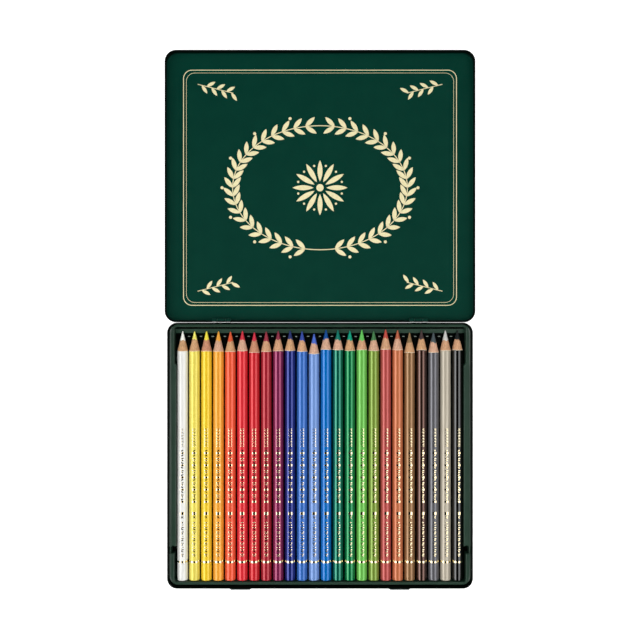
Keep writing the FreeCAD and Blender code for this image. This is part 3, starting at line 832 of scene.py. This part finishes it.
def foilRibbon(points, faces, start, length, centre, width, rows, columns, radius):
    # patch of foil along the barrel; centre and width are lengths across it for a share of its length
    first = len(points)
    for row in range(rows + 1):
        share = row / rows
        for column in range(columns + 1):
            across = centre(share) + width(share) * (2 * column / columns - 1)
            turn = across / radius
            points.append((radius * math.sin(turn), start + length * share, radius * math.cos(turn)))
    faces.extend(gridFaces(rows, columns, first))


# stamped foil: start and end along the barrel in mm, repeat in mm, kinds that take turns
foilZones = [
    (17.2, 42.0, 1.55, ("lozenge", "bar", "leaf", "bar", "dots")),
    (43.8, 49.0, 2.6, ("star", "block")),
    (55.0, 92.6, 1.7, ("block", "leaf", "lozenge", "bar", "leaf")),
    (94.2, 107.2, 1.1, ("dots", "bar")),
]

foilStamp = {
    "centre": 0.2 * mm,
    "filled": 0.82,
    "lozenge": 1.3 * mm,
    "bar": 1.25 * mm,
    "barShare": 0.45,
    "block": 1.4 * mm,
    "leaf": 0.75 * mm,
    "leafLean": 1.1 * mm,
    "star": 0.4 * mm,
    "starLean": 2 * mm,
    "dot": 0.3 * mm,
    "dotShare": 0.7,
    "dotGap": 0.95 * mm,
}


def foilOrnament(radius):
    p = foilStamp
    points = []
    faces = []

    def stamp(start, size, centre, width, rows, columns):
        foilRibbon(points, faces, start, size, centre, width, rows, columns, radius)

    def pointed(widest):
        return lambda share: widest * math.sin(math.pi * share)

    def leaning(lean):
        return lambda share: p["centre"] + lean * (share - 0.5)

    for zoneStart, zoneEnd, repeat, kinds in foilZones:
        count = round((zoneEnd - zoneStart) / repeat)
        for index in range(count):
            kind = kinds[index % len(kinds)]
            start = (zoneStart + index * repeat) * mm
            size = p["filled"] * repeat * mm
            side = 1 if index % 2 else -1
            if kind == "lozenge":
                stamp(start, size, leaning(0), lambda s: p["lozenge"] * (1 - abs(2 * s - 1)), 2, 6)
            elif kind == "bar":
                stamp(start, size * p["barShare"], leaning(0), lambda s: p["bar"], 1, 6)
            elif kind == "block":
                stamp(start, size, leaning(0), lambda s: p["block"], 1, 6)
            elif kind == "leaf":
                stamp(start, size, leaning(side * p["leafLean"]), pointed(p["leaf"]), 5, 4)
            elif kind == "star":
                for lean in (-1, 1):
                    stamp(start, size, leaning(lean * p["starLean"]), pointed(p["star"]), 6, 3)
            else:
                for place in (-1, 0, 1):
                    middle = p["centre"] + place * p["dotGap"]
                    stamp(start, size * p["dotShare"], lambda s: middle, pointed(p["dot"]), 4, 2)
    return points, faces


def buildPencil(node):
    p = pencil
    body = node[:9]
    colour = node[10:]
    lacquerHex, coreHex, wood, coreRadius, slant, reach = pencilLooks[colour]
    low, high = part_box(node)
    length = high.y - low.y + reach * mm
    radius = (high.x - low.x) / 2
    centre = Vector(((low.x + high.x) / 2, low.y, (low.z + high.z) / 2))
    phase = random.uniform(0, math.tau)
    rings = pencilRings(length, radius, coreRadius, slant, phase)
    steps = p["segments"]
    points = [centre + Vector((0, p["endSetback"], 0))]
    faces = []
    slots = []
    for ringPoints, finish in rings:
        for k, (place, size) in enumerate(ringPoints):
            turn = math.tau * k / steps
            points.append(centre + Vector((size * math.sin(turn), place, size * math.cos(turn))))
    points.append(centre + Vector((0, length, 0)))
    for k in range(steps):
        faces.append((0, 1 + k, 1 + (k + 1) % steps))
        slots.append(0)
    faces += [(a, d, c, b) for a, b, c, d in ringFaces(len(rings), steps, 1)]
    for ringPoints, finish in rings[:-1]:
        slots += [finish] * steps
    last = 1 + (len(rings) - 1) * steps
    for k in range(steps):
        faces.append((last + k, len(points) - 1, last + (k + 1) % steps))
        slots.append(3)
    materials = [
        dippedLacquer(f"dipped_gloss_lacquer_{colour}", lacquerHex),
        primer,
        cedars[wood],
        waxCore(f"pigment_wax_core_{colour}", coreHex, shade(coreHex, 0.88)),
    ]
    piece = meshPiece(node + "_turned", points, faces, materials, slots, sharpAngle=30)
    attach(piece, body)
    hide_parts(node)
    # gold band round the barrel and ornament along its top
    lifted = radius + p["foilLift"]
    bandPoints = []
    bandFaces = []
    foilRibbon(bandPoints, bandFaces, p["band"][0], p["band"][1] - p["band"][0], lambda s: 0,
               lambda s: math.pi * lifted, 1, steps, lifted)
    ornamentPoints, ornamentFaces = foilOrnament(lifted)
    shift = len(bandPoints)
    allPoints = [centre + Vector(point) for point in bandPoints + ornamentPoints]
    allFaces = bandFaces + [tuple(shift + i for i in face) for face in ornamentFaces]
    stamp = meshPiece(node + "_foil", allPoints, allFaces, [foil])
    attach(stamp, body)


for node in pencilNodes:
    buildPencil(node)
print("pencils done")


# ornament printed inside the lid: a leaf wreath with a flower, between thin rules

lidPrint = {
    "lift": 0.03 * mm,
    "frameInset": 12 * mm,
    "frameWidth": 0.5 * mm,
    "ruleWidth": 0.25 * mm,
    "frameCorner": 6 * mm,
    "ruleGap": 2 * mm,
    "wreathSize": (62 * mm, 44 * mm),
    "wreathLeaves": 42,
    "wreathGap": 0.17,
    "stemWidth": 0.6 * mm,
    "stemSteps": 96,
    "leafSize": (9.5 * mm, 3.2 * mm),
    "leafLean": 38,
    "berry": 1.1 * mm,
    "berryOut": 7.5 * mm,
    "petals": 12,
    "petalSize": (15 * mm, 3.6 * mm),
    "petalStart": 4.5 * mm,
    "flowerEye": 2.6 * mm,
    "dot": 0.8 * mm,
    "dotRing": 16 * mm,
    "sprigInset": 22 * mm,
    "sprigLength": 26 * mm,
    "sprigSlope": 0.25,
    "sprigStemWidth": 0.5 * mm,
    "sprigLeaves": 7,
    "sprigStart": 3 * mm,
    "sprigPitch": 3.6 * mm,
    "sprigLeafSize": (7 * mm, 2.4 * mm),
    "sprigLeafLean": 42,
}


def leafShape(points, faces, place, angle, length, width):
    # pointed oval, out along one flank and back along the other
    first = len(points)
    steps = 8
    along = Vector((math.cos(angle), math.sin(angle), 0))
    across = Vector((-along.y, along.x, 0))
    flanks = [(step, 1) for step in range(steps + 1)] + [(step, -1) for step in range(steps - 1, 0, -1)]
    for step, side in flanks:
        share = step / steps
        half = side * width / 2 * math.sin(math.pi * share) ** 0.8 if 0 < share < 1 else 0
        points.append(place + along * length * share + across * half)
    faces.append(tuple(range(len(points) - 1, first - 1, -1)))


def discShape(points, faces, place, radius, steps=16):
    first = len(points)
    for step in range(steps):
        angle = math.tau * step / steps
        points.append(place + Vector((radius * math.cos(angle), radius * math.sin(angle), 0)))
    faces.append(tuple(range(first, first + steps)))


def lineShape(points, faces, line, width, closed=False):
    first = len(points)
    count = len(line)
    for index in range(count):
        before = line[index - 1] if closed or index else line[0]
        after = line[(index + 1) % count] if closed or index < count - 1 else line[index]
        along = (after - before).normalized()
        across = Vector((-along.y, along.x, 0)) * width / 2
        points.append(line[index] + across)
        points.append(line[index] - across)
    for index in range(count if closed else count - 1):
        a = first + 2 * index
        b = first + 2 * ((index + 1) % count)
        faces.append((a, a + 1, b + 1, b))


def buildPrint():
    p = lidPrint
    low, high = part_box("lid")
    z = lidPan["sheet"] + p["lift"]
    middle = Vector((0, (low.y + high.y) / 2, z))
    points = []
    faces = []
    # double rule round the panel
    outerInset = p["frameInset"]
    innerInset = outerInset + p["ruleGap"]
    for inset, width in ((outerInset, p["frameWidth"]), (innerInset, p["ruleWidth"])):
        outline = roundedPath(high.x - inset, (high.y - low.y) / 2 - inset, p["frameCorner"], middle.y)
        lineShape(points, faces, [place + Vector((0, 0, z)) for place, out in outline], width, True)
    # wreath: two rows of leaves lean along an oval stem, with berries between
    sizeX, sizeY = p["wreathSize"]
    stem = []
    for index in range(p["stemSteps"]):
        turn = math.tau * index / p["stemSteps"]
        stem.append(middle + Vector((sizeX * math.sin(turn), -sizeY * math.cos(turn), 0)))
    lineShape(points, faces, stem, p["stemWidth"], True)
    length, width = p["leafSize"]
    for index in range(p["wreathLeaves"]):
        half = index // 2
        turn = p["wreathGap"] + (math.pi - 2 * p["wreathGap"]) * half / (p["wreathLeaves"] / 2 - 1)
        turn = turn if index % 2 else math.tau - turn
        place = middle + Vector((sizeX * math.sin(turn), -sizeY * math.cos(turn), 0))
        rising = 1 if turn < math.pi else -1
        along = math.atan2(sizeY * math.sin(turn), sizeX * math.cos(turn))
        along += 0 if rising > 0 else math.pi
        for side in (-1, 1):
            leafShape(points, faces, place, along + side * math.radians(p["leafLean"]), length, width)
        if half % 3 == 1:
            outer = Vector((math.sin(turn), -math.cos(turn), 0))
            discShape(points, faces, place + outer * p["berryOut"], p["berry"])
    # flower of narrow petals with a ring of dots
    petal, petalWidth = p["petalSize"]
    for index in range(p["petals"]):
        angle = math.tau * index / p["petals"]
        out = Vector((math.cos(angle), math.sin(angle), 0))
        leafShape(points, faces, middle + out * p["petalStart"], angle, petal, petalWidth)
        gap = angle + math.pi / p["petals"]
        beside = Vector((math.cos(gap), math.sin(gap), 0))
        discShape(points, faces, middle + beside * p["dotRing"], p["dot"])
    discShape(points, faces, middle, p["flowerEye"], 24)
    # sprig in each corner
    cornerX = high.x - p["sprigInset"]
    cornerY = (high.y - low.y) / 2 - p["sprigInset"]
    for signX in (-1, 1):
        for signY in (-1, 1):
            root = middle + Vector((signX * cornerX, signY * cornerY, 0))
            inward = Vector((-signX, -signY * p["sprigSlope"], 0)).normalized()
            lineShape(points, faces, [root, root + inward * p["sprigLength"]], p["sprigStemWidth"])
            heading = math.atan2(inward.y, inward.x)
            for index in range(p["sprigLeaves"]):
                place = root + inward * (p["sprigStart"] + index * p["sprigPitch"])
                lean = math.radians(p["sprigLeafLean"]) * (1 if index % 2 else -1)
                leafShape(points, faces, place, heading + lean, *p["sprigLeafSize"])
    ink = meshPiece("lid_print", points, faces, [creamInk])
    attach(ink, "lid")


buildPrint()
print("print done")


# studio

studio = {
    "floorSize": 3.0,
    "floorGap": 0.1 * mm,
    "floorTones": ("d8d8d8", "dcdcdc"),
    "floorGlow": 0.72,
    "glowReach": (0.5, 1.3),
    "cameraHeight": 0.555,
    "cameraY": 0.09387,
    "lens": 43.98,
    "boxDistance": 0.9,
    "boxLength": 0.54,
    "boxY": -0.17,
    "leftAngle": 47.5,
    "leftWidth": 0.60,
    "leftRadiance": 3.7,
    "rightAngle": 39,
    "rightWidth": 0.58,
    "rightRadiance": 2.5,
    "topHeight": 1.2,
    "topSize": 1.0,
    "topRadiance": 4.2,
    "fillHeights": (0.1, 0.8),
    "horizon": 0.32,
    "zenith": 0.0,
    "backdropRise": 0.17,
}


def backdropRays(tree):
    # camera rays, and the reflected rays that show the white backdrop in metal and gloss
    path = addNode(tree, "ShaderNodeLightPath")
    reflected = addNode(tree, "ShaderNodeMath", {"operation": "MAXIMUM"},
                        {0: path.outputs["Is Glossy Ray"], 1: path.outputs["Is Transmission Ray"]})
    return path.outputs["Is Camera Ray"], reflected.outputs["Value"]


def whiteFloor():
    # seamless white sweep that shows only a faint shadow
    s = studio
    material, tree = newMaterial("matt_white_studio_sweep")
    dark, light = s["floorTones"]
    paper = addNode(tree, "ShaderNodeValToRGB", {"stops": ((0.3, dark), (0.7, light))},
                    {"Fac": grain(tree, 1 / (40 * mm))})
    matt = addNode(tree, "ShaderNodeBsdfDiffuse", links={"Color": paper.outputs["Color"]})
    direct, reflected = backdropRays(tree)
    either = addNode(tree, "ShaderNodeMath", {"operation": "MAXIMUM"}, {0: direct, 1: reflected})
    # far from the lamps the glow makes up for the light that is missing there
    place = addNode(tree, "ShaderNodeTexCoord").outputs["Object"]
    distance = addNode(tree, "ShaderNodeVectorMath", {"operation": "LENGTH"}, {"Vector": place})
    near, far = s["glowReach"]
    level = addNode(tree, "ShaderNodeMapRange",
                    {"in:From Min": near, "in:From Max": far, "in:To Min": s["floorGlow"], "in:To Max": 1},
                    {"Value": distance.outputs["Value"]})
    seen = addNode(tree, "ShaderNodeMath", {"operation": "MULTIPLY"},
                   {0: either.outputs["Value"], 1: level.outputs["Result"]})
    glow = addNode(tree, "ShaderNodeEmission", links={"Strength": seen.outputs["Value"]})
    both = addNode(tree, "ShaderNodeAddShader",
                   links={0: matt.outputs["BSDF"], 1: glow.outputs["Emission"]})
    addNode(tree, "ShaderNodeOutputMaterial", links={"Surface": both.outputs["Shader"]})
    return material


def softbox(name, angle, width, radiance):
    lamp = bpy.data.lights.new(name, "AREA")
    lamp.shape = "RECTANGLE"
    lamp.size = width
    lamp.size_y = studio["boxLength"]
    lamp.energy = radiance * math.pi * width * studio["boxLength"]
    holder = bpy.data.objects.new(name, lamp)
    bpy.context.scene.collection.objects.link(holder)
    lean = math.radians(angle)
    holder.location = (studio["boxDistance"] * math.sin(lean), studio["boxY"],
                       studio["boxDistance"] * math.cos(lean))
    holder.rotation_euler = (0, lean, 0)
    holder.visible_camera = False


def overheadScrim():
    # wide soft light from above that evens out the shade and shows in no reflection
    s = studio
    lamp = bpy.data.lights.new("overhead_scrim", "AREA")
    lamp.shape = "SQUARE"
    lamp.size = s["topSize"]
    lamp.energy = s["topRadiance"] * math.pi * s["topSize"] ** 2
    holder = bpy.data.objects.new("overhead_scrim", lamp)
    bpy.context.scene.collection.objects.link(holder)
    holder.location = (0, s["cameraY"], s["topHeight"])
    holder.visible_camera = False
    holder.visible_glossy = False


def studioRoom():
    # fill from the room, brighter near the horizon, dark overhead so that flat enamel stays deep
    s = studio
    world = bpy.data.worlds.new("studio_room")
    world.use_nodes = True
    tree = world.node_tree
    tree.nodes.clear()
    direction = addNode(tree, "ShaderNodeTexCoord").outputs["Generated"]
    height = addNode(tree, "ShaderNodeSeparateXYZ", links={"Vector": direction}).outputs["Z"]
    low, high = s["fillHeights"]
    fill = addNode(tree, "ShaderNodeMapRange",
                   {"in:From Min": low, "in:From Max": high,
                    "in:To Min": s["horizon"], "in:To Max": s["zenith"]}, {"Value": height})
    # white all round for the camera, and up to about ten degrees above the horizon in reflections
    direct, reflected = backdropRays(tree)
    backdrop = addNode(tree, "ShaderNodeMapRange",
                       {"in:From Min": s["backdropRise"], "in:From Max": 0.6 * s["backdropRise"]},
                       {"Value": height})
    mirrored = addNode(tree, "ShaderNodeMath", {"operation": "MULTIPLY"},
                       {0: reflected, 1: backdrop.outputs["Result"]})
    white = addNode(tree, "ShaderNodeMath", {"operation": "MAXIMUM"},
                    {0: direct, 1: mirrored.outputs["Value"]})
    seen = addNode(tree, "ShaderNodeMath", {"operation": "MAXIMUM"},
                   {0: fill.outputs["Result"], 1: white.outputs["Value"]})
    room = addNode(tree, "ShaderNodeBackground", {"in:Color": (1, 1, 1, 1)},
                   {"Strength": seen.outputs["Value"]})
    addNode(tree, "ShaderNodeOutputWorld", links={"Surface": room.outputs["Background"]})
    bpy.context.scene.world = world


def buildStudio():
    s = studio
    half = s["floorSize"] / 2
    z = cadBounds[0].z - s["floorGap"]
    corners = [(-half, -half, z), (half, -half, z), (half, half, z), (-half, half, z)]
    floor = meshPiece("studio_floor", corners, [(0, 1, 2, 3)], [whiteFloor()])
    softbox("softbox_left", -s["leftAngle"], s["leftWidth"], s["leftRadiance"])
    softbox("softbox_right", s["rightAngle"], s["rightWidth"], s["rightRadiance"])
    overheadScrim()
    studioRoom()
    # straight down over the seam between base and lid
    lens = bpy.data.cameras.new("camera")
    lens.lens = s["lens"]
    lens.sensor_width = 36
    lens.clip_start = 0.01
    camera = bpy.data.objects.new("camera", lens)
    camera.location = (0, s["cameraY"], s["cameraHeight"])
    bpy.context.scene.collection.objects.link(camera)
    bpy.context.scene.camera = camera
    bpy.context.scene.view_settings.view_transform = "Standard"


buildStudio()
print("studio done")
